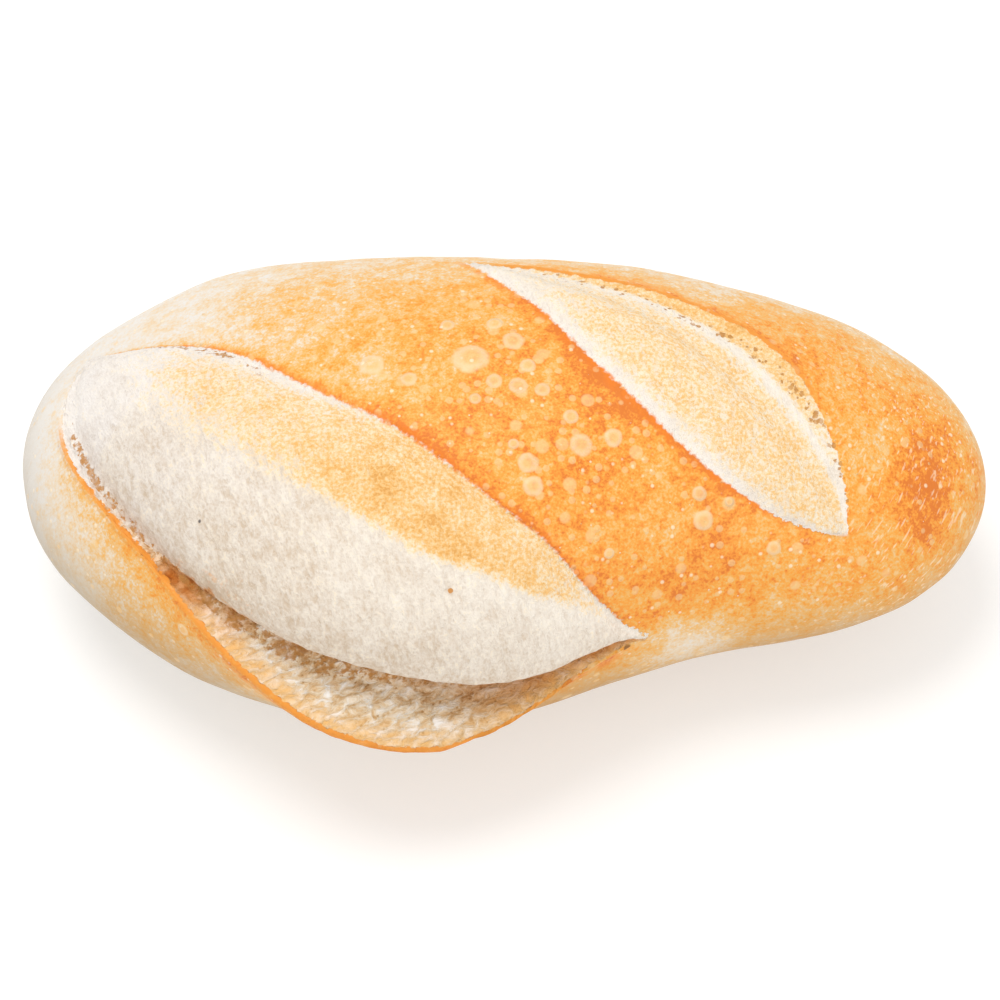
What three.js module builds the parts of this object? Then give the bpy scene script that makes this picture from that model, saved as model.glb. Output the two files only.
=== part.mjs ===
// Bread roll: a long roll with two scores cut across its top before baking. The large score has burst
// open: its floury belly bulges out, and its near lip stands off as a thin flap over a torn gap. The
// small score has only parted. The roll was baked as one piece, so it is one solid.
//
// Millimetres, +Z up. +X runs along the roll, from its blunt end to its tapering end, and the large
// score opens towards -Y. The origin is the middle of the footprint, on the surface under the roll.
//
// The roll starts as a unit sphere. Each point of it is a direction out of the roll's middle. The
// scores first slide and raise the points that they meet, and then each point is sent out to the body.

import * as THREE from "three";
import { mergeVertices } from "three/addons/utils/BufferGeometryUtils.js";

// Driving dimensions.
const LENGTH = 140;
const WAIST_HEIGHT = 22; // height of the broadest outline above the surface
const UNDERSIDE_DEPTH = 24.5; // waist to the rounded underside, more than WAIST_HEIGHT: the rest is flat
const FACETS_ALONG = 68;
const FACETS_AROUND = 80;

// The cross-section along the roll: [place, millimetres], from -1 at the blunt end to 1 at the other.
const BODY = {
  centreLine: [[-1, 2.5], [-0.6, 0.2], [-0.3, -2], [0, -1.7], [0.25, 0.9], [0.5, 1.5], [1, -0.7]],
  halfWidth: [
    [-1, 43], [-0.85, 41], [-0.6, 41], [0, 35.8], [0.25, 32.6], [0.5, 31.4], [0.9, 35.9], [1, 34],
  ],
  crownHeight: [[-1, 25], [-0.2, 30], [0.6, 28], [1, 27]], // above the waist
};
const TOP_BLEND = 4; // how sharply the underside's depth gives way to the crown's height at the waist

// A score runs between two tips, and crosses four lines on its way from the crust that it was cut
// from to the crust on its other side: the crust edge, the belly's brink, the foot of the gap, and
// the rim of the far lip. These lines have station numbers 0 to 3. Each is a curve of [place along
// the score from 0 to 1, angle across it in radians]. Heights and depths are in millimetres.
const LARGE_SCORE = {
  tips: [[-0.875, 0.27, 0.4], [0.3, -0.945, 0.12]],
  opensTowards: -1,
  edge: [
    [0, -0.04], [0.06, -0.12], [0.12, -0.28], [0.27, -0.56], [0.45, -0.7],
    [0.63, -0.546], [0.78, -0.21], [0.86, -0.07], [0.94, -0.01], [1, 0],
  ],
  brink: [
    [0, -0.04], [0.26, 0.005], [0.38, 0.02], [0.45, 0.05], [0.57, 0.105],
    [0.72, 0.12], [0.77, 0.105], [0.82, 0.07], [0.88, 0.025], [1, 0],
  ],
  rim: [
    [0, -0.04], [0.26, 0.07], [0.39, 0.075], [0.46, 0.11], [0.55, 0.24], [0.63, 0.33],
    [0.72, 0.345], [0.77, 0.3], [0.82, 0.18], [0.88, 0.07], [0.95, 0.01], [1, 0],
  ],
  bellyHeight: [[0, 0], [0.12, 1.5], [0.3, 4], [0.5, 6], [0.65, 5], [0.78, 3], [0.9, 0.8], [1, 0]],
  gapDepth: [[0, 0], [0.15, 0.4], [0.4, 0.8], [0.68, 3.6], [0.78, 3.6], [0.86, 1.5], [1, 0]],
  rimHeight: [
    [0, 0], [0.4, 1], [0.5, 2], [0.58, 4.5], [0.66, 7], [0.74, 7.3], [0.79, 5], [0.85, 2], [1, 0],
  ],
  undercut: 0.05, // how far the gap's foot runs in under the belly's brink
  rimFade: 0.42, // angle over which the raised rim comes back down to the body
};
const SMALL_SCORE = {
  tips: [[-0.1, 0.7, 0.71], [0.7, -0.57, 0.44]],
  opensTowards: 1,
  edge: [[0, 0], [0.12, -0.02], [0.3, -0.156], [0.48, -0.313], [0.65, -0.338], [0.82, -0.227], [1, 0]],
  brink: [[0, 0], [0.41, -0.06], [0.59, -0.095], [0.8, -0.051], [1, 0]],
  rim: [[0, 0], [0.1, 0.007], [0.25, 0.061], [0.38, 0.12], [0.61, 0.072], [0.69, 0.035], [1, 0]],
  bellyHeight: [[0, 0], [0.5, 1.6], [0.8, 1.2], [1, 0]],
  gapDepth: [[0, 0], [0.2, 0.2], [0.45, 0.5], [0.7, 0.4], [1, 0]],
  rimHeight: [[0, 0], [0.45, 1.2], [0.7, 0.9], [1, 0]],
  undercut: 0,
  rimFade: 0.3,
};

// What both scores share: their surface as a function of the station number.
const CRUST_BAND = 0.12; // angle of crust just outside the edge that dips towards it
const CRUST_DIP = 0.06; // depth of that dip, as a share of the belly's height
const BRINK_ROWS = 0.6; // where the sphere's own rows meet the brink and the foot, as shares of the width
const FOOT_ROWS = 0.68;
const BRINK_HEIGHT = 0.35; // height left at the brink, as a share of the belly's
const BELLY_SPREAD = [[0, 0], [0.5, 0.5], [0.85, 0.9], [1, 1]];
const BELLY_DOME = [
  [0, -CRUST_DIP], [0.05, 0.12], [0.2, 0.5], [0.45, 0.9],
  [0.65, 1], [0.85, 0.85], [0.95, 0.6], [1, BRINK_HEIGHT],
];
const LIP_WALL = [[2, -1], [2.22, -0.8], [2.55, -0.22], [2.8, 0.48], [2.95, 0.92], [3, 1]];
const LIP_BACK = [[3, 1], [3.06, 0.8], [3.2, 0.5], [3.5, 0.17], [3.8, 0.03], [4, 0]];

// A smooth curve through points, with the slope of its neighbours at each, level beyond its ends.
function curve(points) {
  const last = points.length - 1;
  const slopes = points.map((_, i) => {
    const [beforeX, beforeY] = points[Math.max(i - 1, 0)];
    const [afterX, afterY] = points[Math.min(i + 1, last)];
    return (afterY - beforeY) / (afterX - beforeX);
  });
  return (at) => {
    const x = THREE.MathUtils.clamp(at, points[0][0], points[last][0]);
    const i = Math.max(points.findIndex((point) => point[0] >= x) - 1, 0);
    const [x0, y0] = points[i];
    const [x1, y1] = points[i + 1];
    const span = x1 - x0;
    const t = (x - x0) / span;
    const ease = t * t * (3 - 2 * t);
    const leave = t * (1 - t) * (1 - t) * span * slopes[i];
    const arrive = t * t * (1 - t) * span * slopes[i + 1];
    return y0 + (y1 - y0) * ease + leave - arrive;
  };
}

const bodyCurves = {
  centreLine: curve(BODY.centreLine),
  halfWidth: curve(BODY.halfWidth),
  crownHeight: curve(BODY.crownHeight),
};
const bellySpread = curve(BELLY_SPREAD);
const bellyDome = curve(BELLY_DOME);
const lipWall = curve(LIP_WALL);
const lipBack = curve(LIP_BACK);

// A score with its own directions: `middle` points at its middle, `along` from tip to tip, and
// `across` from the crust edge to the far lip.
function prepareScore(score) {
  const [start, end] = score.tips.map((tip) => new THREE.Vector3(...tip).normalize());
  const pole = new THREE.Vector3().crossVectors(start, end).normalize();
  const middle = new THREE.Vector3().addVectors(start, end).normalize();
  return {
    ...score,
    middle,
    along: new THREE.Vector3().crossVectors(pole, middle),
    across: pole.clone().multiplyScalar(score.opensTowards),
    halfAngle: start.angleTo(end) / 2,
    edgeAt: curve(score.edge),
    brinkAt: curve(score.brink),
    rimAt: curve(score.rim),
    bellyHeightAt: curve(score.bellyHeight),
    gapDepthAt: curve(score.gapDepth),
    rimHeightAt: curve(score.rimHeight),
  };
}

// Where a score leaves a direction, and how far it raises it off the body.
function meetScore(score, direction) {
  const angleAlong = Math.atan2(direction.dot(score.along), direction.dot(score.middle));
  const angleAcross = Math.asin(THREE.MathUtils.clamp(direction.dot(score.across), -1, 1));
  if (Math.abs(angleAlong) >= score.halfAngle) return { slid: direction, raised: 0 };

  const place = Math.acos(-angleAlong / score.halfAngle) / Math.PI;
  const edge = score.edgeAt(place);
  const brink = score.brinkAt(place);
  const foot = brink - score.undercut * Math.sin(Math.PI * place);
  const rim = score.rimAt(place);
  const belly = score.bellyHeightAt(place);
  const depth = score.gapDepthAt(place);
  const lip = score.rimHeightAt(place);

  const width = Math.max(rim - edge, 1e-6);
  const rows = [
    edge - CRUST_BAND,
    edge,
    edge + BRINK_ROWS * width,
    edge + FOOT_ROWS * width,
    rim,
    rim + score.rimFade,
  ];
  const passed = rows.findLastIndex((row) => angleAcross >= row);
  if (passed < 0 || passed === rows.length - 1) return { slid: direction, raised: 0 };

  const share = (angleAcross - rows[passed]) / (rows[passed + 1] - rows[passed]);
  const station = passed - 1 + share;
  let across = angleAcross;
  let raised = 0;
  if (station < 0) {
    raised = -CRUST_DIP * belly * share ** 3;
  } else if (station < 1) {
    across = edge + (brink - edge) * bellySpread(share);
    raised = belly * bellyDome(share);
  } else if (station < 2) {
    across = brink + (foot - brink) * share;
    const drop = THREE.MathUtils.smoothstep(share, 0, 1);
    raised = THREE.MathUtils.lerp(BRINK_HEIGHT * belly, -depth, drop);
  } else if (station < 3) {
    const wall = lipWall(station);
    across = foot + (rim - foot) * share;
    raised = wall * (wall < 0 ? depth : lip);
  } else {
    raised = lip * lipBack(station);
  }

  const slid = score.middle
    .clone()
    .multiplyScalar(Math.cos(angleAlong))
    .addScaledVector(score.along, Math.sin(angleAlong))
    .multiplyScalar(Math.cos(across))
    .addScaledVector(score.across, Math.sin(across));
  return { slid, raised };
}

// The point of the body in a direction, raised square to the surface.
function placeOnBody(direction, raised) {
  const top = 0.5 + 0.5 * Math.tanh(direction.z * TOP_BLEND);
  const halfWidth = bodyCurves.halfWidth(direction.x);
  const height = THREE.MathUtils.lerp(UNDERSIDE_DEPTH, bodyCurves.crownHeight(direction.x), top);
  const halfLength = LENGTH / 2;
  const outwards = new THREE.Vector3(
    direction.x / halfLength,
    direction.y / halfWidth,
    direction.z / height,
  ).normalize();
  return new THREE.Vector3(
    halfLength * direction.x,
    bodyCurves.centreLine(direction.x) + halfWidth * direction.y,
    WAIST_HEIGHT + height * direction.z,
  ).addScaledVector(outwards, raised);
}

function rollGeometry(scores) {
  const sphere = new THREE.SphereGeometry(1, FACETS_AROUND, FACETS_ALONG).rotateZ(-Math.PI / 2);
  sphere.deleteAttribute("normal");
  sphere.deleteAttribute("uv");
  const roll = mergeVertices(sphere);
  // Mirrored, so that the diagonals of its facets run the way that the scores do.
  roll.scale(1, -1, 1);
  roll.setIndex([...roll.index.array].reverse());
  const positions = roll.getAttribute("position");
  for (let i = 0; i < positions.count; i++) {
    const direction = new THREE.Vector3().fromBufferAttribute(positions, i).normalize();
    const shifted = direction.clone();
    let raised = 0;
    for (const score of scores) {
      const met = meetScore(score, direction);
      shifted.add(met.slid).sub(direction);
      raised += met.raised;
    }
    const point = placeOnBody(shifted.normalize(), raised);
    positions.setXYZ(i, point.x, point.y, Math.max(point.z, 0)); // the flat spot that it baked on
  }
  roll.computeBoundingBox();
  const middle = roll.boundingBox.getCenter(new THREE.Vector3());
  roll.translate(-middle.x, -middle.y, 0);
  roll.computeVertexNormals();
  return roll;
}

const crust = new THREE.MeshStandardMaterial({ color: 0xf0b876, roughness: 0.7, metalness: 0 });

const breadRoll = new THREE.Mesh(rollGeometry([LARGE_SCORE, SMALL_SCORE].map(prepareScore)), crust);
breadRoll.name = "bread_roll";

const part = new THREE.Group();
part.add(breadRoll);

export default part;
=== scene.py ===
import math

import bmesh
import bpy
import numpy as np
from mathutils import Matrix, Vector, noise


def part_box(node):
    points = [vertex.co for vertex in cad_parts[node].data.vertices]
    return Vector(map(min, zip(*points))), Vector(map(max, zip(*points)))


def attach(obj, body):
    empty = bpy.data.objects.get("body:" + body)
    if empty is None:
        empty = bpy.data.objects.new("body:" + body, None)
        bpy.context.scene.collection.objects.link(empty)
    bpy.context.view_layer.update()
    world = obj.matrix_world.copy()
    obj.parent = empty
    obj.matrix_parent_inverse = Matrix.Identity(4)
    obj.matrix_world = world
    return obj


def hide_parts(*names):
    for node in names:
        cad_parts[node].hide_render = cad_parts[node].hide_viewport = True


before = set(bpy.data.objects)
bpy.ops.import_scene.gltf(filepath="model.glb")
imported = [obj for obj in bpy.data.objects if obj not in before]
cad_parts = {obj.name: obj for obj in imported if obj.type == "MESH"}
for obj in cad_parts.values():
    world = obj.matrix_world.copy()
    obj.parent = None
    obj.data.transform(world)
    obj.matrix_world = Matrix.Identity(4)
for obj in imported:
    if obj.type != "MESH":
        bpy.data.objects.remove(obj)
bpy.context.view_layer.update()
low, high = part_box("bread_roll")
middle = (low + high) / 2
mm = (high.x - low.x) / 140  # the roll's sizes below are in millimetres of a 140 mm roll
print("frame loaded, roll length", round(high.x - low.x, 4))


# ---- camera, floor and light

view = {
    "elevation": 55,  # degrees above the floor
    "distance": 650,  # mm from the target
    "width": 146.3,  # what the view takes in across the target
    "target": (-0.55, 5.84, 17),
    "sensor": 36,
    "nearest": 0.01,  # metres from the camera where the view starts
}
studio = {
    "floorColour": (0.62, 0.618, 0.615, 1),
    "floorGlow": 0.68,  # the floor is a light table, so the roll's shadow stays faint
    "floorSize": 6000,
    "floorRoughness": 0.9,
    "skyColour": (1, 0.995, 0.985, 1),
    "skyStrength": 0.72,
    "lamps": [  # place and size in mm, power in watts
        {"name": "keyBox", "at": (-200, 150, 940), "size": 540, "power": 4.5, "colour": (1, 0.985, 0.96)},
        {"name": "fillBox", "at": (520, -780, 600), "size": 600, "power": 2.4, "colour": (1, 0.99, 0.98)},
    ],
}


def aimAt(thing, target):
    thing.rotation_euler = (thing.location - target).to_track_quat("Z", "Y").to_euler()


def makeCamera():
    data = bpy.data.cameras.new("rollCamera")
    data.sensor_width = view["sensor"]
    data.lens = view["sensor"] * view["distance"] / view["width"]
    data.clip_start = view["nearest"]
    camera = bpy.data.objects.new("rollCamera", data)
    bpy.context.scene.collection.objects.link(camera)
    target = Vector(view["target"]) * mm
    lift = math.radians(view["elevation"])
    camera.location = target + Vector((0, -math.cos(lift), math.sin(lift))) * view["distance"] * mm
    aimAt(camera, target)
    bpy.context.scene.camera = camera


def makeLamp(lamp):
    data = bpy.data.lights.new(lamp["name"], "AREA")
    data.shape = "DISK"
    data.size = lamp["size"] * mm
    data.energy = lamp["power"]
    data.color = lamp["colour"]
    thing = bpy.data.objects.new(lamp["name"], data)
    bpy.context.scene.collection.objects.link(thing)
    thing.location = Vector(lamp["at"]) * mm
    aimAt(thing, Vector((0, 0, middle.z)))


def makeFloor():
    bm = bmesh.new()
    bmesh.ops.create_grid(bm, x_segments=1, y_segments=1, size=studio["floorSize"] * mm / 2)
    mesh = bpy.data.meshes.new("studioFloor")
    bm.to_mesh(mesh)
    bm.free()
    floor = bpy.data.objects.new("studioFloor", mesh)
    bpy.context.scene.collection.objects.link(floor)
    finish = bpy.data.materials.new("palePaper")
    finish.use_nodes = True
    shader = finish.node_tree.nodes["Principled BSDF"]
    shader.inputs["Base Color"].default_value = studio["floorColour"]
    shader.inputs["Roughness"].default_value = studio["floorRoughness"]
    shader.inputs["Emission Color"].default_value = studio["floorColour"]
    shader.inputs["Emission Strength"].default_value = studio["floorGlow"]
    mesh.materials.append(finish)


def makeSky():
    world = bpy.data.worlds.new("studioSky")
    world.use_nodes = True
    background = world.node_tree.nodes["Background"]
    background.inputs["Color"].default_value = studio["skyColour"]
    background.inputs["Strength"].default_value = studio["skyStrength"]
    bpy.context.scene.world = world
    bpy.context.scene.view_settings.view_transform = "Standard"


makeCamera()
makeFloor()
makeSky()
for lamp in studio["lamps"]:
    makeLamp(lamp)
print("camera, floor and", len(studio["lamps"]), "lamps placed")


# ---- the roll's shape

# Sizes are in millimetres. Curves are lists of (place, value), and along the roll place runs from -1 at
# the blunt end to 1.
body = {
    "around": 300,  # faces around the roll and along it
    "along": 330,
    "denseSide": 35,  # degrees from the top towards the near side, where faces are smallest
    "density": 0.42,
    "halfLength": 70,
    "waistHeight": 22,
    "undersideDepth": 24.5,  # more than the waist height, so the base comes out flat
    "topBlend": 4,
    "centreLine": [(-1, 2.5), (-0.6, 0.2), (-0.3, -2), (0, -1.7), (0.25, 0.9), (0.5, 1.5), (1, -0.7)],
    "halfWidth": [(-1, 43), (-0.85, 41), (-0.6, 41), (0, 35.8), (0.25, 32.6), (0.5, 31.4), (0.9, 35.9),
                  (1, 34)],
    "crownHeight": [(-1, 25), (-0.2, 30), (0.6, 28), (1, 27)],
    "meanHalves": (70, 37, 28),  # half sizes of a plain egg like the roll, which turn angles into mm
}

# A score crosses the crust edge, the belly's brink, the gap's foot and the far lip's rim: stations 0 to
# 3. A line's curve is (place along the score, angle across it). Heights and depths are in millimetres.
largeScore = {
    "tips": ((-0.875, 0.27, 0.4), (0.3, -0.945, 0.12)),
    "opensTowards": -1,
    "edge": [(0, -0.04), (0.06, -0.09), (0.12, -0.2), (0.16, -0.32), (0.2, -0.44), (0.27, -0.56),
             (0.45, -0.7), (0.63, -0.546), (0.78, -0.21), (0.86, -0.07), (0.94, -0.01), (1, 0)],
    "brink": [(0, -0.04), (0.26, 0.0), (0.38, 0.02), (0.45, 0.05), (0.57, 0.1), (0.64, 0.105),
              (0.72, 0.105), (0.77, 0.07), (0.82, 0.02), (0.86, -0.01), (0.9, -0.01), (1, 0)],
    "rim": [(0, -0.04), (0.26, 0.07), (0.39, 0.075), (0.46, 0.11), (0.55, 0.24), (0.63, 0.33),
            (0.72, 0.345), (0.77, 0.3), (0.82, 0.18), (0.85, 0.11), (0.88, 0.065), (0.95, 0.01), (1, 0)],
    "softBrink": [(0, 1), (0.4, 1), (0.5, 0.7), (0.6, 0), (1, 0)],  # 1 slopes to the brink, 0 drops
    "bellyHeight": [(0, 0), (0.12, 1.5), (0.3, 4), (0.5, 6), (0.65, 5), (0.78, 3), (0.9, 0.8), (1, 0)],
    # The brink's height is a share of the belly's, and the undercut and the rim's fade are angles.
    "brinkHeight": [(0, 0), (0.4, 0), (0.5, 0.06), (0.58, 0.14), (0.66, 0.3), (0.74, 0.4), (0.85, 0.3),
                    (1, 0.1)],
    "gapDepth": [(0, 0), (0.45, 0.05), (0.55, 0.5), (0.62, 1.4), (0.68, 2.7), (0.74, 3.4), (0.79, 3),
                 (0.84, 1.5), (0.88, 0.5), (1, 0)],
    "rimHeight": [(0, 0), (0.4, 1), (0.5, 2), (0.58, 4.5), (0.66, 7), (0.74, 7.3), (0.79, 5), (0.85, 2),
                  (1, 0)],
    "undercut": [(0, 0), (0.2, -0.03), (0.44, -0.03), (0.54, 0), (0.6, 0.03), (0.7, 0.055), (0.78, 0.045),
                 (0.86, 0.01), (1, 0)],
    "rimFade": 0.42,
    "curl": 1,  # share of the edge's lift and groove
    # The station where the flour ends, and the crumb starts to show.
    "flourEnd": [(0, 3.2), (0.34, 3), (0.42, 1.7), (0.48, 0.97), (0.56, 1.0), (0.64, 1.12), (0.8, 1.1),
                 (0.87, 1.1), (0.94, 1.5), (1, 3)],
    "crumbAmount": 1.0,
}
smallScore = {
    "tips": ((-0.1, 0.7, 0.71), (0.7, -0.57, 0.44)),
    "opensTowards": 1,
    "edge": [(0, 0), (0.12, -0.02), (0.3, -0.156), (0.48, -0.313), (0.65, -0.338), (0.82, -0.227),
             (1, 0)],
    "brink": [(0, 0), (0.41, -0.06), (0.59, -0.095), (0.8, -0.051), (1, 0)],
    "rim": [(0, 0), (0.1, 0.003), (0.25, 0.04), (0.32, 0.072), (0.4, 0.1), (0.47, 0.115), (0.54, 0.1),
            (0.61, 0.062), (0.68, 0.03), (0.8, 0.005), (1, 0)],
    "softBrink": [(0, 1), (1, 1)],
    "bellyHeight": [(0, 0), (0.5, 1.5), (0.8, 1.1), (1, 0)],
    "brinkHeight": [(0, 0), (1, 0)],
    "gapDepth": [(0, 0), (1, 0)],
    "rimHeight": [(0, 0), (0.45, 0.8), (0.7, 0.5), (1, 0)],
    "undercut": [(0, 0), (0.5, -0.05), (1, 0)],
    "rimFade": 0.3,
    "curl": 0.35,
    "flourEnd": [(0, 5), (1, 5)],
    "crumbAmount": 0.2,
}
scoreSurface = {  # shared by both scores, as a function of the station
    "crustBand": 0.12,
    "crustDip": 0.06,
    "brinkRows": 0.6,
    "footRows": 0.68,
    "bellySpread": [(0, 0), (0.5, 0.5), (0.85, 0.9), (1, 1)],
    "bellyDome": [(0, -0.06), (0.05, 0.12), (0.2, 0.5), (0.45, 0.9), (0.65, 1), (0.85, 0.85), (0.95, 0.6),
                  (1, 0.35)],
    "bellySlope": [(0, -0.06), (0.05, 0.12), (0.2, 0.5), (0.45, 0.9), (0.6, 0.93), (0.8, 0.68),
                   (0.92, 0.38), (1, 0.2)],
    "lipWall": [(2, -1), (2.2, -0.75), (2.5, -0.2), (2.75, 0.42), (2.9, 0.86), (3, 1)],
    "lipBack": [(3, 1), (3.04, 0.95), (3.1, 0.8), (3.22, 0.5), (3.5, 0.17), (3.8, 0.03), (4, 0)],
    "brinkBlend": (0.6, 1),  # share of the belly over which it comes down to the brink's own height
    "gather": 0.018,  # angle from the crust edge and the rim within which vertices gather onto them
    "opens": ((0, 0.06), (1, 0.93)),  # places between which a score opens, and closes again
    "backShows": ((0, 0.2), (1, 0.85)),  # and between which the lip's back rises and falls
    "curlWidth": (0.02, 0.2),  # widths of the score, as angles, between which its edge starts to curl
    "edgeLift": 0.25,  # mm that the crust stands off along the edge, and how far back that reaches
    "edgeReach": 1.6,
    "edgeGroove": 0.12,
    "grooveReach": 1.0,
}
hair = 1e-6  # an angle that is as good as nothing


def smoothCurve(points, at):
    x, y = (np.array(column, float) for column in zip(*points))
    slope = np.gradient(y, x)
    slope[1:-1] = (y[2:] - y[:-2]) / (x[2:] - x[:-2])
    at = np.clip(at, x[0], x[-1])
    i = np.clip(np.searchsorted(x, at) - 1, 0, len(x) - 2)
    span = x[i + 1] - x[i]
    t = (at - x[i]) / span
    ease = t * t * (3 - 2 * t)
    bend = t * (1 - t) * span * ((1 - t) * slope[i] - t * slope[i + 1])
    return y[i] + (y[i + 1] - y[i]) * ease + bend


def smoothStep(start, end, value):
    t = np.clip((value - start) / (end - start), 0, 1)
    return t * t * (3 - 2 * t)


def between(starts, ends, value):  # eases up to 1 over the first range and down over the second
    return smoothStep(*starts, value) * smoothStep(*ends, value)


def unit(vectors):
    return vectors / np.linalg.norm(vectors, axis=-1, keepdims=True)


def placeOnBody(directions, raised):
    along = directions[:, 0]
    top = 0.5 + 0.5 * np.tanh(directions[:, 2] * body["topBlend"])
    halfWidth = smoothCurve(body["halfWidth"], along)
    crown = smoothCurve(body["crownHeight"], along)
    height = body["undersideDepth"] + (crown - body["undersideDepth"]) * top
    places = np.stack([
        body["halfLength"] * along,
        smoothCurve(body["centreLine"], along) + halfWidth * directions[:, 1],
        body["waistHeight"] + height * directions[:, 2],
    ], axis=1)
    spans = np.stack([np.full(len(along), body["halfLength"]), halfWidth, height], axis=1)
    return places + unit(directions / spans) * raised[:, None]


def gatherOnto(line, angle, reach):  # closes vertices up to a line, so that its crease comes out clean
    away = angle - line
    return np.where(np.abs(away) < reach, line + away * np.abs(away) / np.maximum(reach, hair), angle)


def stationsAcross(angle, rows):  # how far across a score: -1 at the first row, 4 at the last
    station = np.full(len(angle), -1.0)
    for i, (near, far) in enumerate(zip(rows, rows[1:])):
        share = np.clip((angle - near) / (far - near), 0, 1)
        station = np.where(angle >= near, i - 1 + share, station)
    return station


def bellySection(share, soft, brinkShare):  # the belly's height from its edge to its brink, as a share
    dome, slope = (smoothCurve(scoreSurface[name], share) for name in ("bellyDome", "bellySlope"))
    domeEnd, slopeEnd = (scoreSurface[name][-1][1] for name in ("bellyDome", "bellySlope"))
    section = dome + (slope - dome) * soft
    missing = brinkShare - domeEnd - (slopeEnd - domeEnd) * soft
    return section + missing * smoothStep(*scoreSurface["brinkBlend"], share)


def edgeCurl(past):  # mm that the crust lifts up to its edge, and sinks in behind it
    lifted = np.exp(past / scoreSurface["edgeReach"]) * scoreSurface["edgeLift"]
    sunk = -np.exp(-past / scoreSurface["grooveReach"]) * scoreSurface["edgeGroove"]
    return np.where(past <= 0, lifted, sunk)


def meetScore(score, directions):  # slides and raises the directions that a score meets
    start, end = (unit(np.array(tip)) for tip in score["tips"])
    pole = unit(np.cross(start, end))
    centre = unit(start + end)
    tangent = np.cross(pole, centre)
    side = pole * score["opensTowards"]
    halfAngle = math.acos(start @ end) / 2
    angleAlong = np.arctan2(directions @ tangent, directions @ centre)
    angleAcross = np.arcsin(np.clip(directions @ side, -1, 1))
    inside = np.abs(angleAlong) < halfAngle
    place = np.arccos(-np.clip(angleAlong / halfAngle, -1, 1)) / math.pi

    edge, brink, rim, undercut, belly, depth, lip, brinkShare, soft = (
        smoothCurve(score[name], place)
        for name in ("edge", "brink", "rim", "undercut", "bellyHeight", "gapDepth", "rimHeight",
                     "brinkHeight", "softBrink")
    )
    opened = between(*scoreSurface["opens"], place)
    foot = brink - undercut
    width = np.maximum(rim - edge, hair)
    for line in (edge, rim):
        angleAcross = gatherOnto(line, angleAcross, scoreSurface["gather"] * opened)
    station = stationsAcross(angleAcross, [
        edge - scoreSurface["crustBand"],
        edge,
        edge + scoreSurface["brinkRows"] * width,
        edge + scoreSurface["footRows"] * width,
        rim,
        rim + score["rimFade"],
    ])
    share = station - np.floor(station)
    bodyRadius = 1 / np.sqrt((directions**2 / np.array(body["meanHalves"]) ** 2).sum(axis=1))
    pastEdge = (angleAcross - edge) * bodyRadius
    pastRim = (angleAcross - rim) * bodyRadius
    squeeze = (rim - foot) / ((1 - scoreSurface["footRows"]) * width)  # of the vertices from foot to rim

    wall = smoothCurve(scoreSurface["lipWall"], station)
    back = smoothCurve(scoreSurface["lipBack"], station) * between(*scoreSurface["backShows"], place)
    brinkRise = brinkShare * belly
    stretch = [station < 0, station < 1, station < 2, station < 3]
    raised = np.select(stretch, [
        np.where(station > -1, -scoreSurface["crustDip"] * belly * share**3, 0),
        belly * bellySection(share, soft, brinkShare),
        brinkRise - (brinkRise + depth) * smoothStep(0, 1, share),
        wall * np.where(wall < 0, depth, lip),
    ], lip * back)
    curl = edgeCurl(pastEdge) * opened * smoothStep(*scoreSurface["curlWidth"], width) * score["curl"]
    raised = raised + np.where(station < 1, curl, 0)
    across = np.select(stretch, [
        angleAcross,
        edge + (brink - edge) * smoothCurve(scoreSurface["bellySpread"], share),
        brink + (foot - brink) * share,
        foot + (rim - foot) * share,
    ], angleAcross)
    turned = centre * np.cos(angleAlong)[:, None] + tangent * np.sin(angleAlong)[:, None]
    slid = turned * np.cos(across)[:, None] + side * np.sin(across)[:, None]
    return {
        "slid": np.where(inside[:, None], slid, directions),
        "raised": np.where(inside, raised, 0),
        "station": np.where(inside, station, -1),
        "place": place,
        "open": opened,
        "edge": pastEdge,  # mm past the crust edge
        "rim": np.where(pastRim < 0, pastRim * squeeze, pastRim),  # mm past the rim
        "opening": width,
        "torn": station - smoothCurve(score["flourEnd"], place),  # past 0, the crumb shows
        "crumbAmount": score["crumbAmount"],
    }


def startSphere():
    bm = bmesh.new()
    bmesh.ops.create_uvsphere(bm, u_segments=body["around"], v_segments=body["along"], radius=1)
    bmesh.ops.rotate(bm, verts=bm.verts, cent=(0, 0, 0), matrix=Matrix.Rotation(math.pi / 2, 3, "Y"))
    mesh = bpy.data.meshes.new("bakedRoll")
    bm.to_mesh(mesh)
    bm.free()
    mesh.polygons.foreach_set("use_smooth", np.ones(len(mesh.polygons), bool))
    return mesh


def readPlaces(mesh):
    flat = np.empty(len(mesh.vertices) * 3)
    mesh.vertices.foreach_get("co", flat)
    return flat.reshape(-1, 3)


def readNormals(mesh):
    flat = np.empty(len(mesh.vertices) * 3)
    mesh.vertex_normals.foreach_get("vector", flat)
    return flat.reshape(-1, 3)


def movePlaces(mesh, places):
    mesh.vertices.foreach_set("co", places.ravel())
    mesh.update()


def crowdDirections(directions):  # turns vertices around the roll, towards the side with the detail
    turn = np.arctan2(-directions[:, 1], directions[:, 2])
    turn = turn - body["density"] * np.sin(turn - math.radians(body["denseSide"]))
    across = np.hypot(directions[:, 1], directions[:, 2])
    return np.stack([directions[:, 0], -across * np.sin(turn), across * np.cos(turn)], axis=1)


rollMesh = startSphere()
directions = crowdDirections(unit(readPlaces(rollMesh)))
degrees = np.degrees(np.arctan2(-directions[:, 1], directions[:, 2]))  # from the top, towards the near side
large = meetScore(largeScore, directions)
small = meetScore(smallScore, directions)
shifted = unit(large["slid"] + small["slid"] - directions)
places = placeOnBody(shifted, large["raised"] + small["raised"])
places[:, 2] = np.maximum(places[:, 2], 0)
print("roll sculpted,", len(places), "vertices")


# ---- fit to the frame, then the surface detail

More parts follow.
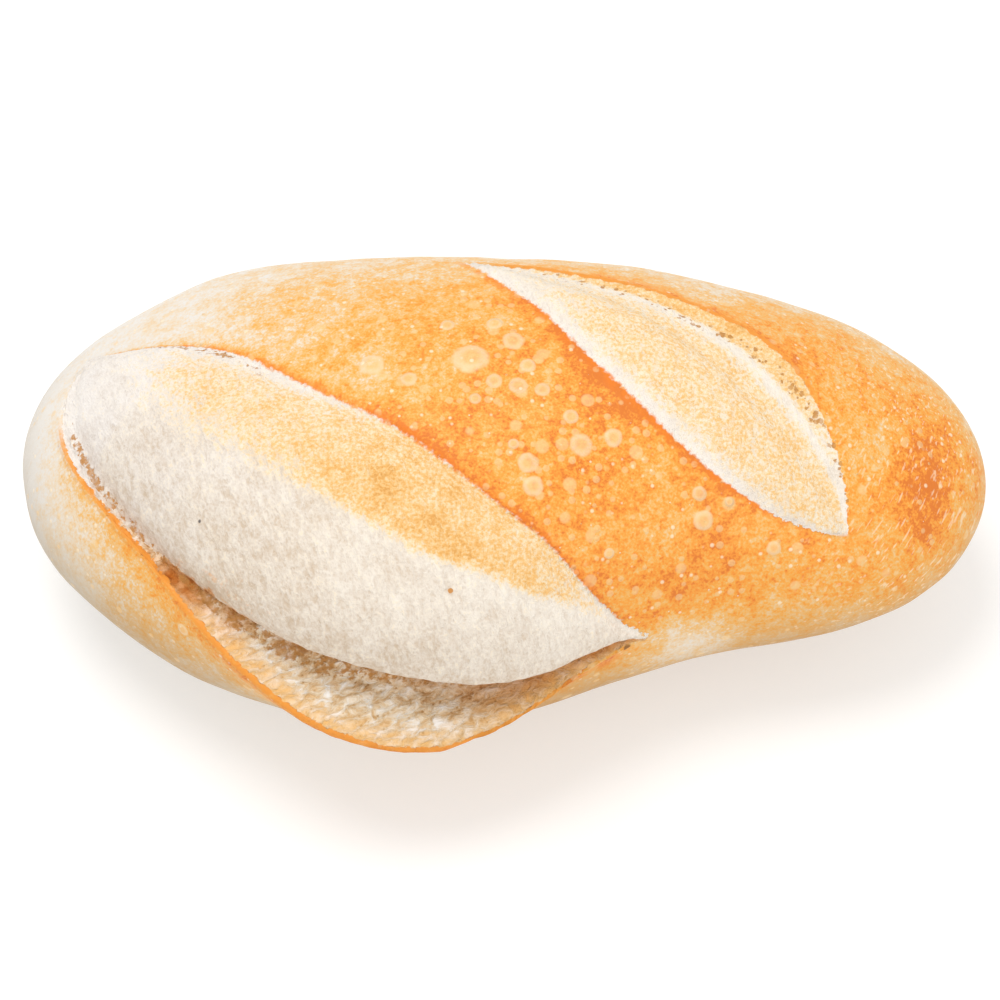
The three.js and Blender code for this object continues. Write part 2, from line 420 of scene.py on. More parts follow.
span = places.max(axis=0) - places.min(axis=0)
places = (places - (places.max(axis=0) + places.min(axis=0)) / 2) * (np.array(high - low) / span)
places += np.array(middle)
movePlaces(rollMesh, places)
normals = readNormals(rollMesh)
local = places / mm  # millimetres

detail = {  # heights in mm; a grain is its size in mm, its octaves and where it starts
    "roughness": (0.8, 2.1),  # how much weaker and finer each octave is
    "lumps": 0.3,  # slow swells of the whole crust
    "lumpGrain": (15, 2),
    "wrinkles": 0.13,  # of the belly's skin
    "wrinkleGrain": (1.6, 4),
    "wrinkleStretch": (1, 0.6, 0.6),
    "skin": ((0.02, 0.12), (1.3, 1.0)),  # stations where the skin starts and ends
    "fibres": 0.16,  # of the torn crumb
    "fibreGrain": (1.6, 4),
    "fibreStretch": (1.3, 0.55, 0.8),
    "torn": ((1.0, 1.3), (2.98, 2.8)),  # stations where the crumb starts and ends
    "pits": 0.28,
    "pitGrain": (2.2, 2, 7.3),
    "pitDeepens": (0.1, 0.5),  # between these values of its grain
    "rimNibble": 0.15,  # how ragged the rim's outline is
    "nibbleGrain": (3.6, 3),
    "nibbleReach": 0.8,
    "nibbleWidth": (0.05, 0.2),  # widths of the score between which its rim gets ragged
    "faint": 0.01,  # grain isn't worked out where its mask is weaker
}


def grainAt(spots, size, octaves, offset=0.0):
    return np.array([noise.fractal(spot, *detail["roughness"], octaves) for spot in spots / size + offset])


def grainWhere(mask, spots, size, octaves, offset=0.0):
    grain = np.zeros(len(mask))
    found = np.flatnonzero(mask > detail["faint"])
    grain[found] = grainAt(spots[found], size, octaves, offset) * mask[found]
    return grain


def raiseScoreDetail(score):
    skin = between(*detail["skin"], score["station"]) * score["open"]
    torn = between(*detail["torn"], score["station"]) * score["open"] * score["crumbAmount"]
    crest = np.exp(-((score["rim"] / detail["nibbleReach"]) ** 2)) * score["open"]
    crest = crest * smoothStep(*detail["nibbleWidth"], score["opening"]) * score["crumbAmount"]
    wrinkles = grainWhere(skin, local * detail["wrinkleStretch"], *detail["wrinkleGrain"])
    fibres = grainWhere(torn, local * detail["fibreStretch"], *detail["fibreGrain"])
    nibble = grainWhere(crest, local, *detail["nibbleGrain"])
    pitted = grainWhere((torn > detail["faint"]) * 1.0, local, *detail["pitGrain"])
    pits = smoothStep(*detail["pitDeepens"], pitted) * torn
    raised = wrinkles * detail["wrinkles"] + fibres * detail["fibres"] + nibble * detail["rimNibble"]
    return raised - pits * detail["pits"]


def onCrust(score):  # 1 on the crust, 0 inside the score
    outside = np.maximum(
        smoothStep(*blisters["offEdge"], score["edge"]),
        smoothStep(*blisters["offRim"], score["rim"]),
    )
    return 1 - (1 - outside) * score["open"]


blisters = {
    # Place along the roll, degrees from the top towards the near side, radius.
    "large": [
        (-0.07, -2, 2.8), (0.02, -7, 1.8), (-0.02, -13, 1.3), (-0.11, -13, 1.2), (0.05, 0, 1.3),
        (-0.02, 4, 1.3), (0.03, 6, 1.5), (0.08, 7, 1.2), (-0.06, 8, 0.9), (0.13, 15, 1.2),
        (0.15, 23, 1.8), (0.02, 20, 0.9), (0.05, 25, 1.6), (0.06, 31, 1.6), (-0.19, 2, 1.3),
        (-0.26, -2, 2.0), (0.22, 22, 1.5), (0.4, 47, 1.6), (0.45, 42, 0.8), (0.54, 57, 1.2),
        (0.21, 52, 0.9), (0.39, 39, 1.2), (-0.635, 71, 1.1),
    ],
    "height": 0.16,  # share of the radius
    "plumpness": 0.7,  # less is flatter on top, with a steeper side
    "richest": (0.02, 14, 25),  # where they crowd: place along, degrees from the top, reach in mm
    "offEdge": (0.0, -0.7),  # mm from a score's edge and its rim where they start
    "offRim": (0.4, 1.2),
}


def bodyDirection(along, angle):
    across = math.sqrt(max(1 - along * along, 0))
    turn = math.radians(angle)
    return np.array((along, -across * math.sin(turn), across * math.cos(turn)))


def spotPlace(along, angle):
    return local[np.argmax(directions @ bodyDirection(along, angle))]


def raiseBlisters(cover):
    raised = np.zeros(len(local))
    for centre, radius in blisterPlaces:
        away = np.linalg.norm(local - centre, axis=1) / radius
        dome = np.clip(1 - away**2, 0, 1) ** blisters["plumpness"]
        raised = np.maximum(raised, blisters["height"] * radius * dome)
    return raised * cover


crustCover = onCrust(large) * onCrust(small)
blisterPlaces = [(spotPlace(along, angle), radius) for along, angle, radius in blisters["large"]]
change = raiseBlisters(crustCover) + raiseScoreDetail(large) + raiseScoreDetail(small)
change += detail["lumps"] * grainAt(local, *detail["lumpGrain"])
places = places + normals * (change * mm)[:, None]
places[:, 2] = np.maximum(places[:, 2], 0)
movePlaces(rollMesh, places)
print("surface detail raised")


# ---- what is painted on the roll: attributes that the material reads

paint = {
    "alongBake": [(-1, -0.04), (-0.85, 0.02), (-0.65, 0.22), (-0.45, 0.45), (-0.2, 0.62), (0.1, 0.68),
                  (0.5, 0.68), (0.75, 0.66), (0.85, 0.72), (1, 0.62)],
    "aroundBake": [(-180, 0.5), (-110, 0.66), (-80, 0.6), (-60, 0.5), (-45, 0.54), (-30, 0.8),
                   (-15, 0.95), (0, 1), (60, 1), (75, 0.94), (90, 0.82), (105, 0.64), (120, 0.54),
                   (180, 0.45)],
    # Spots: place along, degrees from the top, reach in mm, how much more or less baked.
    "bakeSpots": [
        (0.86, 20, 5, 0.2), (0.85, 36, 5, 0.18), (0.37, 90, 6.5, -0.42), (0.24, 6, 7, 0.14),
        (0.21, 32, 5, 0.1), (0.42, 46, 6, 0.08), (0.6, 66, 7, 0.04), (0.36, 70, 5, 0.26),
        (-0.3, 0, 7, -0.02), (0.1, 40, 6, 0.02), (-0.75, 84, 12, 0.26), (-0.5, 92, 12, -0.04),
        (0.2, 68, 5, 0.06), (0.72, 18, 6, -0.12), (0.13, 88, 2.4, 0.5), (0.21, 87, 2, 0.4),
        (0, 12, 6, 0.08), (0.27, 94, 3.5, 0.06), (-0.92, 68, 6, 0.14), (0.41, -42, 9, -0.12),
        (0.83, 44, 5, 0.08),
    ],
    # By place along each score: how much the crust browns along its edge and its rim.
    "largeEdgeHeat": [(0, 0.1), (0.1, 0.36), (0.3, 0.34), (0.42, 0.38), (0.55, 0.34), (0.75, 0.26),
                      (0.9, 0.0), (1, 0)],
    "smallEdgeHeat": [(0, 0.1), (0.25, 0.3), (0.5, 0.44), (0.75, 0.42), (0.92, 0.1), (1, 0)],
    "largeRimHeat": [(0, 0), (0.2, 0.1), (0.3, 0.36), (0.4, 0.46), (0.52, 0.48), (0.6, 0.4), (0.75, 0.35),
                     (0.85, 0), (1, 0)],
    "smallRimHeat": [(0, 0.1), (0.2, 0.22), (0.5, 0.3), (0.65, 0.1), (0.85, 0), (1, 0)],
    "heatReach": 0.9,
    "largeGlow": 5.5,  # mm that the browning reaches back from a rim
    "smallGlow": 1.4,
    # The belly's gold: how far from the crust edge it goes (as a station), and how strong.
    "goldEnds": [(0, 0.3), (0.3, 0.52), (0.4, 0.45), (0.5, 0.34), (0.6, 0.3), (0.7, 0.22), (0.78, 0.14),
                 (1, 0.1)],
    "goldAmount": [(0, 0), (0.18, 0.1), (0.28, 0.36), (0.4, 0.46), (0.5, 0.55), (0.58, 0.58),
                   (0.66, 0.48), (0.74, 0.36), (0.82, 0.15), (0.88, 0), (1, 0)],
    "ridge": ((0.42, 0.5), (0.76, 0.68)),  # places between which the gold ends in a darker line
    "ridgeGold": (0.24, 0.5, 0.9),  # how much darker, and between which shares of the gold's end
    # Shares of the gold's end where it has gone, and where it is full: elsewhere, and on the ridge.
    "goldFade": ((1.35, 1.2), (0.6, 0.9)),
    "goldSpots": [(-0.2, 25, 2.2, 0.28), (-0.13, 25, 3, 0.04), (-0.12, 34, 2, 0.12),
                  (0.04, 52, 2.2, 0.16)],
    "goldMargin": [(0, 2.4), (0.3, 1.1), (0.4, 0.3), (0.48, -0.5), (0.72, -0.5), (0.8, 0.8), (1, 2)],
    "marginBlend": (-1.2, 0.9),  # mm either side of the margin over which the gold starts
    "lensGold": 0.42,
    "lensFromEdge": (-0.4, 2.4),  # mm past the small score's edge
    "lensStations": (2.4, 1.9),
    "lensPlaces": ((0.22, 0.45), (1.05, 0.8)),
    "lensLeast": 0.35,  # share of the gold at the lens's ends
    "bankStations": (2.3, 2.55),
    "bankGold": [(0, 0.1), (0.3, 0.5), (0.5, 0.6), (0.62, 0.4), (0.78, 0), (1, 0)],
    # Brown pits in the gap, by place, and the stations around which they lie.
    "largePits": [(0, 0), (0.22, 0.2), (0.29, 1), (0.45, 1), (0.62, 1), (0.72, 0.6), (0.84, 0.3),
                  (0.9, 0), (1, 0)],
    "smallPits": [(0, 0), (0.18, 0), (0.26, 0.9), (0.4, 1), (0.7, 0.9), (0.8, 0.5), (0.9, 0), (1, 0)],
    "largePitStation": [(0, 1.65), (0.3, 1.65), (0.44, 1.5), (0.51, 2.25), (0.6, 2.42), (0.67, 2.36),
                        (1, 2.3)],
    "largePitSpread": [(0, 0.65), (0.44, 0.6), (0.51, 0.42), (0.6, 0.24), (1, 0.22)],
    "smallPitStation": [(0, 2.35), (0.35, 2.35), (0.45, 2.42), (0.5, 2.55), (0.6, 2.64), (0.66, 2.78),
                        (1, 2.78)],
    "smallPitSpread": [(0, 0.2), (1, 0.2)],
    # Painted shade that greys the belly's lower part: from one station to another, how much.
    "bellyShadeBands": ((0.1, 0.45, 0.45), (0.45, 0.95, 0.55)),
    "bellyShadePlaces": (0.22, 0.42),
    "deeperBellyShade": (-0.33, 30, 9, 0.35),  # place along, degrees from the top, reach in mm, amount
    "pitFade": (1, 0.5),  # share of the spread over which the pits set in
    "dashBand": ((0.1, 0.5), (1.6, 0.9)),  # mm past the large edge where dashes of pits lie
    "dashes": [(0, 0), (0.1, 0), (0.13, 1), (0.22, 1), (0.3, 0.3), (0.4, 0), (1, 0)],
    # Browner crumb: place along, degrees from the top, reach in mm, amount.
    "brownCrumb": [(-0.635, 51, 3, 1), (-0.457, 42, 2.5, 1), (-0.54, 47, 3.5, 1), (-0.48, 56, 2.5, 0.8),
                   (-0.335, 58, 2.4, 0.8), (-0.4, 63, 2.4, 0.6), (-0.27, 70, 3, 0.5)],
    # Painted shadow on the crumb under the belly: where it starts, where the gap closes, and the places it
    # covers.
    "shadeStations": (2.75, 3.0),  # where the shade under the belly starts, and where the gap closes
    "shadeLifts": (0.68, 0.8),
    "shadeFade": 0.7,
    "shadePlaces": (0.56, 0.72),
    "toastPlaces": (0.73, 0.82),  # places between which the closing gap turns golden
    "toastStations": (2.3, 2.7),
    "fringe": (-2.6, -0.9),  # mm past the rim between which the crumb turns golden
    "fringePlaces": (0.4, 0.55),
    "fringeToast": 0.85,
    "warmPlaces": (0.3, 0.56),  # where the belly's flour turns from white to cream
    "warmStations": (-0.5, 0),
    "lensWarms": (0, 2),  # mm past the small score's edge
    "lensWarmth": 0.35,  # at that edge
    # Lower on the sides the crust turns darker and duller: partly its own tan, partly painted shade.
    "tanAndShadeBelow": (29, 13),  # heights between which the sides turn to a duller tan
    "bluntTanAndShadeBelow": (33, 16),  # and the same at the blunt end
    "bluntEnd": (-0.35, -0.6),
    "floured": (0.36, 89, 9, 0.8),  # a pale place below the large score's end
}


def ease(name, value):
    return smoothStep(*paint[name], value)


def curve(name, score):
    return smoothCurve(paint[name], score["place"])


def spotAt(along, angle, reach):
    return np.exp(-((np.linalg.norm(local - spotPlace(along, angle), axis=1) / reach) ** 2))


def storeAttribute(name, values):
    layer = rollMesh.attributes.new(name, "FLOAT", "POINT")
    layer.data.foreach_set("value", np.ascontiguousarray(values, np.float32))


def paintBake():
    bake = smoothCurve(paint["alongBake"], directions[:, 0]) * smoothCurve(paint["aroundBake"], degrees)
    for along, angle, reach, amount in paint["bakeSpots"]:
        bake += amount * spotAt(along, angle, reach)
    for name, score in (("large", large), ("small", small)):
        edgeHeat, rimHeat = (curve(name + heat, score) for heat in ("EdgeHeat", "RimHeat"))
        beforeEdge = np.exp(np.minimum(score["edge"], 0) / paint["heatReach"]) * (score["station"] < 1)
        pastRim = np.exp(-np.maximum(score["rim"], 0) / paint[name + "Glow"]) * (score["station"] > 2)
        bake += (edgeHeat * beforeEdge + rimHeat * pastRim) * score["open"]
    return bake


def paintGold():
    station = large["station"]
    ends = curve("goldEnds", large)
    ridge = between(*paint["ridge"], large["place"])
    gone, full = (ends * (plain + (ridged - plain) * ridge) for plain, ridged in paint["goldFade"])
    darker, ridgeStarts, ridgeFull = paint["ridgeGold"]
    patch = smoothStep(gone, full, station)
    patch = patch * (1 + darker * ridge * smoothStep(ends * ridgeStarts, ends * ridgeFull, station))
    margin = curve("goldMargin", large)
    before, behind = paint["marginBlend"]
    patch = patch * smoothStep(margin + before, margin + behind, large["edge"])
    amount = curve("goldAmount", large)
    for along, angle, reach, extra in paint["goldSpots"]:
        amount = amount + extra * spotAt(along, angle, reach)
    patch = patch * amount * (station > 0)
    return np.maximum(patch, paintSmallGold())


def paintSmallGold():
    least = paint["lensLeast"]
    lens = ease("lensFromEdge", small["edge"]) * ease("lensStations", small["station"])
    lens = lens * small["open"] * (least + (1 - least) * between(*paint["lensPlaces"], small["place"]))
    bank = ease("bankStations", small["station"]) * curve("bankGold", small)
    return np.maximum(lens * paint["lensGold"], bank)


def paintWarmth():
    least = paint["lensWarmth"]
    belly = ease("warmPlaces", large["place"]) * ease("warmStations", large["station"])
    lens = least + (1 - least) * ease("lensWarms", small["edge"])
    return np.maximum(belly * large["open"], lens * small["open"])


def paintPits(name, score):
    away = np.abs(score["station"] - curve(name + "PitStation", score))
    band = ease("pitFade", away / curve(name + "PitSpread", score))
    band = band * curve(name + "Pits", score)
    if name == "large":
        dashes = between(*paint["dashBand"], score["edge"]) * curve("dashes", score)
        band = np.maximum(band, dashes)
    return band * score["open"]


# Painted shadow on the crumb under the belly's overhang, together with browner crumb spots.
def paintShadeAndBrownCrumb():
    shallow, closing = paint["shadeStations"]
    start = shallow + (closing - shallow) * ease("shadeLifts", large["place"])
    shade = smoothStep(start, start - paint["shadeFade"], large["station"])
    shade = shade * ease("shadePlaces", large["place"])
    for along, angle, reach, amount in paint["brownCrumb"]:
        shade = np.maximum(shade, amount * spotAt(along, angle, reach))
    return shade * large["open"]


# Partly the sides' own tan, partly painted shade, both rising towards the floor.
def paintTanAndShade():
    blunt = ease("bluntTanAndShadeBelow", local[:, 2]) * ease("bluntEnd", directions[:, 0])
    tanAndShade = np.maximum(ease("tanAndShadeBelow", local[:, 2]), blunt)
    *flouredPlace, less = paint["floured"]
    return tanAndShade * (1 - less * spotAt(*flouredPlace))


# Painted shade: greys the belly towards its lower part, and more in one spot.
def paintBellyShade():
    station = large["station"]
    bellyShade = sum(amount * smoothStep(start, end, station) for start, end, amount in paint["bellyShadeBands"])
    *deeperShadePlace, more = paint["deeperBellyShade"]
    return bellyShade * ease("bellyShadePlaces", large["place"]) + more * spotAt(*deeperShadePlace) * large["open"]


def paintToast():
    closing = ease("toastPlaces", large["place"])
    closing = closing * ease("toastStations", large["station"])
    fringe = ease("fringe", large["rim"]) * ease("fringePlaces", large["place"])
    return np.maximum(closing, fringe * paint["fringeToast"])


storeAttribute("bake", paintBake())
storeAttribute("tanAndShade", paintTanAndShade())
storeAttribute("gold", paintGold())
storeAttribute("warmth", paintWarmth())
# painted shadow under the belly, and browner crumb
storeAttribute("shade", paintShadeAndBrownCrumb())
# painted shade on the belly
storeAttribute("bellyShade", paintBellyShade())
storeAttribute("toast", paintToast())
storeAttribute("crowd", spotAt(*blisters["richest"]))
for name, score in (("large", large), ("small", small)):
    storeAttribute(name + "Pits", paintPits(name, score))
    storeAttribute(name + "Heat", curve(name + "EdgeHeat", score))
    for value in ("place", "open", "edge", "rim", "torn"):
        storeAttribute(name + value.capitalize(), score[value])
print("attributes stored")


# ---- material helpers

def feed(tree, made, inputs):
    for name, value in inputs.items():
        if isinstance(value, bpy.types.NodeSocket):
            tree.links.new(value, made.inputs[name])
        else:
            made.inputs[name].default_value = value
    return made


def addNode(tree, kind, inputs=None, **settings):
    made = tree.nodes.new("ShaderNode" + kind)
    for name, value in settings.items():
        setattr(made, name, value)
    return feed(tree, made, inputs or {})


def doMath(tree, operation, a, b=0.0, c=0.0, clamp=False):
    return addNode(tree, "Math", {0: a, 1: b, 2: c}, operation=operation, use_clamp=clamp).outputs[0]


def multiply(tree, first, *others):
    for other in others:
        first = doMath(tree, "MULTIPLY", first, other)
    return first


def addUp(tree, first, *others):
    for other in others:
        first = doMath(tree, "ADD", first, other)
    return first


def remap(tree, value, fromLow, fromHigh, toLow=0.0, toHigh=1.0):
    limits = {"Value": value, "From Min": fromLow, "From Max": fromHigh, "To Min": toLow, "To Max": toHigh}
    return addNode(tree, "MapRange", limits, interpolation_type="SMOOTHSTEP").outputs["Result"]


noiseRange = (0.3, 0.7)  # most values of a noise texture lie between these


def swing(tree, grain, amount):  # turns a noise into plus or minus the amount
    return remap(tree, grain, *noiseRange, -amount, amount)


def mixColours(tree, share, first, second, blend="MIX"):
    mixed = addNode(tree, "Mix", {0: share, 6: first, 7: second}, data_type="RGBA", blend_type=blend)
    return mixed.outputs[2]


def mixValues(tree, share, first, second):
    return addNode(tree, "Mix", {0: share, 2: first, 3: second}, data_type="FLOAT").outputs[0]


def colourRamp(tree, value, stops):
    made = addNode(tree, "ValToRGB", {"Fac": value})
    ramp = made.color_ramp
    while len(ramp.elements) < len(stops):
        ramp.elements.new(0.5)
    for element, (position, colour) in zip(ramp.elements, stops):
        element.position = position
        element.color = (*colour, 1)
    return made.outputs["Color"]


def readAttribute(tree, name):
    return addNode(tree, "Attribute", attribute_name=name).outputs["Fac"]


def objectPlace(tree, turned=(0, 0, 0), stretched=(1, 1, 1)):
    here = addNode(tree, "TexCoord").outputs["Object"]
    if turned == (0, 0, 0) and stretched == (1, 1, 1):
        return here
    mapping = {"Vector": here, "Rotation": tuple(map(math.radians, turned)), "Scale": stretched}
    return addNode(tree, "Mapping", mapping, vector_type="TEXTURE").outputs["Vector"]


def grainTexture(tree, where, size, detail=3, roughness=0.55, distortion=0.0):
    settings = {
        "Vector": where,
        "Scale": 1 / (size * mm),
        "Detail": detail,
        "Roughness": roughness,
        "Distortion": distortion,
    }
    return addNode(tree, "TexNoise", settings).outputs["Fac"]


def startGroup(name, inputs, outputs):
    tree = bpy.data.node_groups.new(name, "ShaderNodeTree")
    for label in inputs:
        kind = "NodeSocketVector" if label == "Centre" else "NodeSocketFloat"
        tree.interface.new_socket(label, in_out="INPUT", socket_type=kind)
    for label in outputs:
        kind = "NodeSocketColor" if label == "Colour" else "NodeSocketFloat"
        tree.interface.new_socket(label, in_out="OUTPUT", socket_type=kind)
    return tree, tree.nodes.new("NodeGroupInput").outputs, tree.nodes.new("NodeGroupOutput").inputs


def startFinish(name, inputs):
    return startGroup(name, inputs, ["Colour", "Height", "Roughness"])


def endGroup(tree, out, *values):
    for value, socket in zip(values, out):
        tree.links.new(value, socket)
    return tree


def placeGroup(tree, group, inputs):
    made = tree.nodes.new("ShaderNodeGroup")
    made.node_tree = group
    return feed(tree, made, inputs).outputs


# ---- crust

crust = {
    "bakeColours": [
        (0.0, (0.77, 0.73, 0.68)), (0.2, (0.78, 0.64, 0.47)), (0.4, (0.79, 0.51, 0.23)),
        (0.55, (0.82, 0.44, 0.12)), (0.7, (0.84, 0.365, 0.055)), (0.85, (0.84, 0.285, 0.035)),
        (1.0, (0.7, 0.19, 0.025)),
    ],
    "mottle": ((9, 0.1), (2.6, 0.13), (0.8, 0.15), (0.36, 0.16)),  # size in mm, shift of the baking
    "mottleNoise": (0.25, 0.75),
    "evenTan": 0.65,  # how much of the mottle the tan sides lose, and how much the pale crust keeps
    "evenPale": 0.5,
    "paleBelow": 0.45,
    "blisterCells": ((3.2, 0.36, 0.5), (1.7, 0.38, 0.42)),  # cell in mm, widest share of it, rarity
    "blisterNoise": (0.2, 0.45, 0.6, 1.0),  # where the grain breaks a blister up
    "blisterSkin": (0.85, 0.59, 0.29, 1),
    "skinFade": 0.3,
    "skinCover": 0.52,
    "blisterRim": (0.88, 0.7, 0.47, 1),
    "rimFade": (0.25, 0.7, 0.3),  # of the cone, up from its foot and down again
    "rimNoise": (0.3, 0.6, 0.2, 0.5),
    "wobble": 0.06,  # how much a raised blister's outline strays, as a share of its radius
    "wobbleSize": 1.6,
    # multiplied over the lower sides: their duller tan, and painted shade
    "tanAndShade": (0.64, 0.58, 0.48, 1),
    "specks": (0.94, 0.79, 0.57, 1),
    "speckSize": 1.4,
    "speckWidest": 0.3,
    "speckRarity": 0.36,
    "speckFade": 0.6,
    "speckCover": 0.7,  # none on the tan sides
    "streakSize": 0.55,
    "streakTurn": (0, -21, 58),
    "streakStretch": (6, 1, 1),
    "streakNoise": (0.6, 0.7),
    "roughness": (0.45, 0.62),
    "grainBump": 0.3,  # heights in mm, before the material's own share
    "swellBump": 0.5,
    "raisedBump": (0.5, 0.5),  # where the cone is full, and the height
    "scatteredBump": (0.9, 0.35),
    "speckBump": 0.3,
}
scatter = {  # small blisters, specks and pits
    "randomness": 0.85,
    "crowding": 0.45,  # how much more often they show where they crowd
    "variety": 0.6,  # share of them that differ in size
    "smallest": 0.001,
}


def makeSpotGroup():  # a cone that falls from 1 at the centre to 0 at the radius
    tree, given, out = startGroup("roundSpot", ["Centre", "Radius", "Wobble"], ["Cone"])
    away = addNode(tree, "VectorMath", {0: objectPlace(tree), 1: given["Centre"]}, operation="DISTANCE")
    share = addUp(tree, doMath(tree, "DIVIDE", away.outputs["Value"], given["Radius"]), given["Wobble"])
    return endGroup(tree, out, doMath(tree, "SUBTRACT", 1.0, share, clamp=True))


spotGroup = makeSpotGroup()


def scatterCones(tree, where, cell, widest, crowd, rarity):
    settings = {"Vector": where, "Scale": 1 / (cell * mm), "Randomness": scatter["randomness"]}
    cells = addNode(tree, "TexVoronoi", settings)
    luck = addNode(tree, "SeparateColor", {"Color": cells.outputs["Color"]}).outputs[0]
    luck = doMath(tree, "MULTIPLY_ADD", crowd, scatter["crowding"], luck)
    radius = remap(tree, luck, rarity, rarity + scatter["variety"], scatter["smallest"], widest)
    away = doMath(tree, "DIVIDE", cells.outputs["Distance"], radius)
    return doMath(tree, "SUBTRACT", 1.0, away, clamp=True)


def makeCrustGroup():
    tree, given, out = startFinish("bakedCrust", ["Bake", "Crowd", "Streaks", "TanAndShade"])
    here = objectPlace(tree)
    baked = given["Bake"]
    uneven = doMath(tree, "MULTIPLY_ADD", given["TanAndShade"], -crust["evenTan"], 1.0)
    uneven = multiply(tree, uneven, remap(tree, baked, 0.0, crust["paleBelow"], crust["evenPale"], 1.0))
    grains = []
    for size, shift in crust["mottle"]:
        grains.append(grainTexture(tree, here, size))
        mottle = remap(tree, grains[-1], *crust["mottleNoise"], -shift, shift)
        baked = doMath(tree, "MULTIPLY_ADD", mottle, uneven, baked)
    _, swells, coarse, fine = grains
    colour = colourRamp(tree, baked, crust["bakeColours"])
    colour = mixColours(tree, given["TanAndShade"], colour, crust["tanAndShade"], "MULTIPLY")

    scattered, raised = 0.0, 0.0
    for cell, widest, rarity in crust["blisterCells"]:
        cones = scatterCones(tree, here, cell, widest, given["Crowd"], rarity)
        scattered = doMath(tree, "MAXIMUM", scattered, cones)
    wobble = swing(tree, grainTexture(tree, here, crust["wobbleSize"], detail=1), crust["wobble"])
    for centre, radius in blisterPlaces:
        spot = {"Centre": tuple(centre * mm), "Radius": radius * mm, "Wobble": wobble}
        raised = doMath(tree, "MAXIMUM", raised, placeGroup(tree, spotGroup, spot)["Cone"])
    blistered = doMath(tree, "MAXIMUM", scattered, raised)
    blistered = multiply(tree, blistered, remap(tree, coarse, *crust["blisterNoise"]))
    skin = multiply(tree, remap(tree, blistered, 0.0, crust["skinFade"]), crust["skinCover"])
    colour = mixColours(tree, skin, colour, crust["blisterSkin"])
    outer, top, inner = crust["rimFade"]
    ring = multiply(tree, remap(tree, raised, 0.0, outer), remap(tree, raised, top, inner))
    ring = multiply(tree, ring, remap(tree, fine, *crust["rimNoise"]))
    colour = mixColours(tree, ring, colour, crust["blisterRim"])

    dots = scatterCones(tree, here, crust["speckSize"], crust["speckWidest"], 0.0, crust["speckRarity"])
    cover = doMath(tree, "MULTIPLY_ADD", given["TanAndShade"], -crust["speckCover"], crust["speckCover"])
    cover = multiply(tree, remap(tree, dots, 0.0, crust["speckFade"]), cover)
    colour = mixColours(tree, cover, colour, crust["specks"])
    stroked = objectPlace(tree, crust["streakTurn"], crust["streakStretch"])
    strokes = grainTexture(tree, stroked, crust["streakSize"], detail=1)
    strokes = multiply(tree, remap(tree, strokes, *crust["streakNoise"]), given["Streaks"])
    colour = mixColours(tree, strokes, colour, crust["specks"])

    raisedFull, raisedBump = crust["raisedBump"]
    scatteredFull, scatteredBump = crust["scatteredBump"]
    height = addUp(
        tree,
        multiply(tree, coarse, crust["grainBump"]),
        multiply(tree, swells, crust["swellBump"]),
        multiply(tree, remap(tree, raised, 0.0, raisedFull), raisedBump),
        multiply(tree, remap(tree, scattered, 0.0, scatteredFull), scatteredBump),
        multiply(tree, dots, crust["speckBump"]),
    )
    return endGroup(tree, out, colour, height, remap(tree, swells, *noiseRange, *crust["roughness"]))


# ---- floury belly

flour = {
    "whites": [(0.0, (0.6, 0.49, 0.38)), (0.3, (0.75, 0.685, 0.63)), (0.5, (0.83, 0.775, 0.73)),
               (0.75, (0.89, 0.85, 0.815)), (1.0, (0.94, 0.92, 0.9))],
    "creams": [(0.0, (0.62, 0.49, 0.36)), (0.3, (0.76, 0.67, 0.57)), (0.5, (0.84, 0.765, 0.67)),
               (0.75, (0.89, 0.835, 0.755)), (1.0, (0.94, 0.91, 0.86))],
    "golds": [(0.0, (0.87, 0.78, 0.62)), (0.3, (0.88, 0.685, 0.43)), (0.55, (0.86, 0.565, 0.26)),
              (0.8, (0.82, 0.46, 0.15)), (1.0, (0.72, 0.36, 0.1))],
    "marks": [  # place along, degrees from the top, radius in mm, colour
        (-0.451, 28, 0.32, (0.16, 0.14, 0.13, 1)), (-0.08, 49, 0.42, (0.6, 0.28, 0.09, 1)),
        (0.249, 84, 0.65, (0.3, 0.13, 0.03, 1)),
    ],
    "markWobble": 0.2,
    "markFade": 0.4,
    # Sizes in mm, and how much each grain shifts the tone.
    "strokeTurn": (0, 0, 20),
    "strokeStretch": (1, 2.6, 2.2),
    "strokeSize": 3.2,
    "strokeTone": 0.05,
    "fibreSize": 0.85,
    "fibreTone": (0.25, 0.75, 0.35, 0.69),
    "wormSize": 0.8,
    "wormWidth": 0.09,
    "wormTone": 0.11,
    "patchSize": 9,
    "patchTone": 0.06,
    "patchWarmth": 0.3,
    "speckleSize": 0.5,
    "speckleTone": 0.1,
    # how much the painted shade darkens the belly
    "bellyShadeTone": 0.38,
    "goldSpeckle": 0.28,
    "blotchSize": 3.4,
    "blotchTone": 0.2,
    "coverFibre": 0.16,  # how ragged the gold's cover is
    "coverSpeckle": 0.1,
    "coverFull": 0.48,
    "roughness": (0.92, 0.98),
}


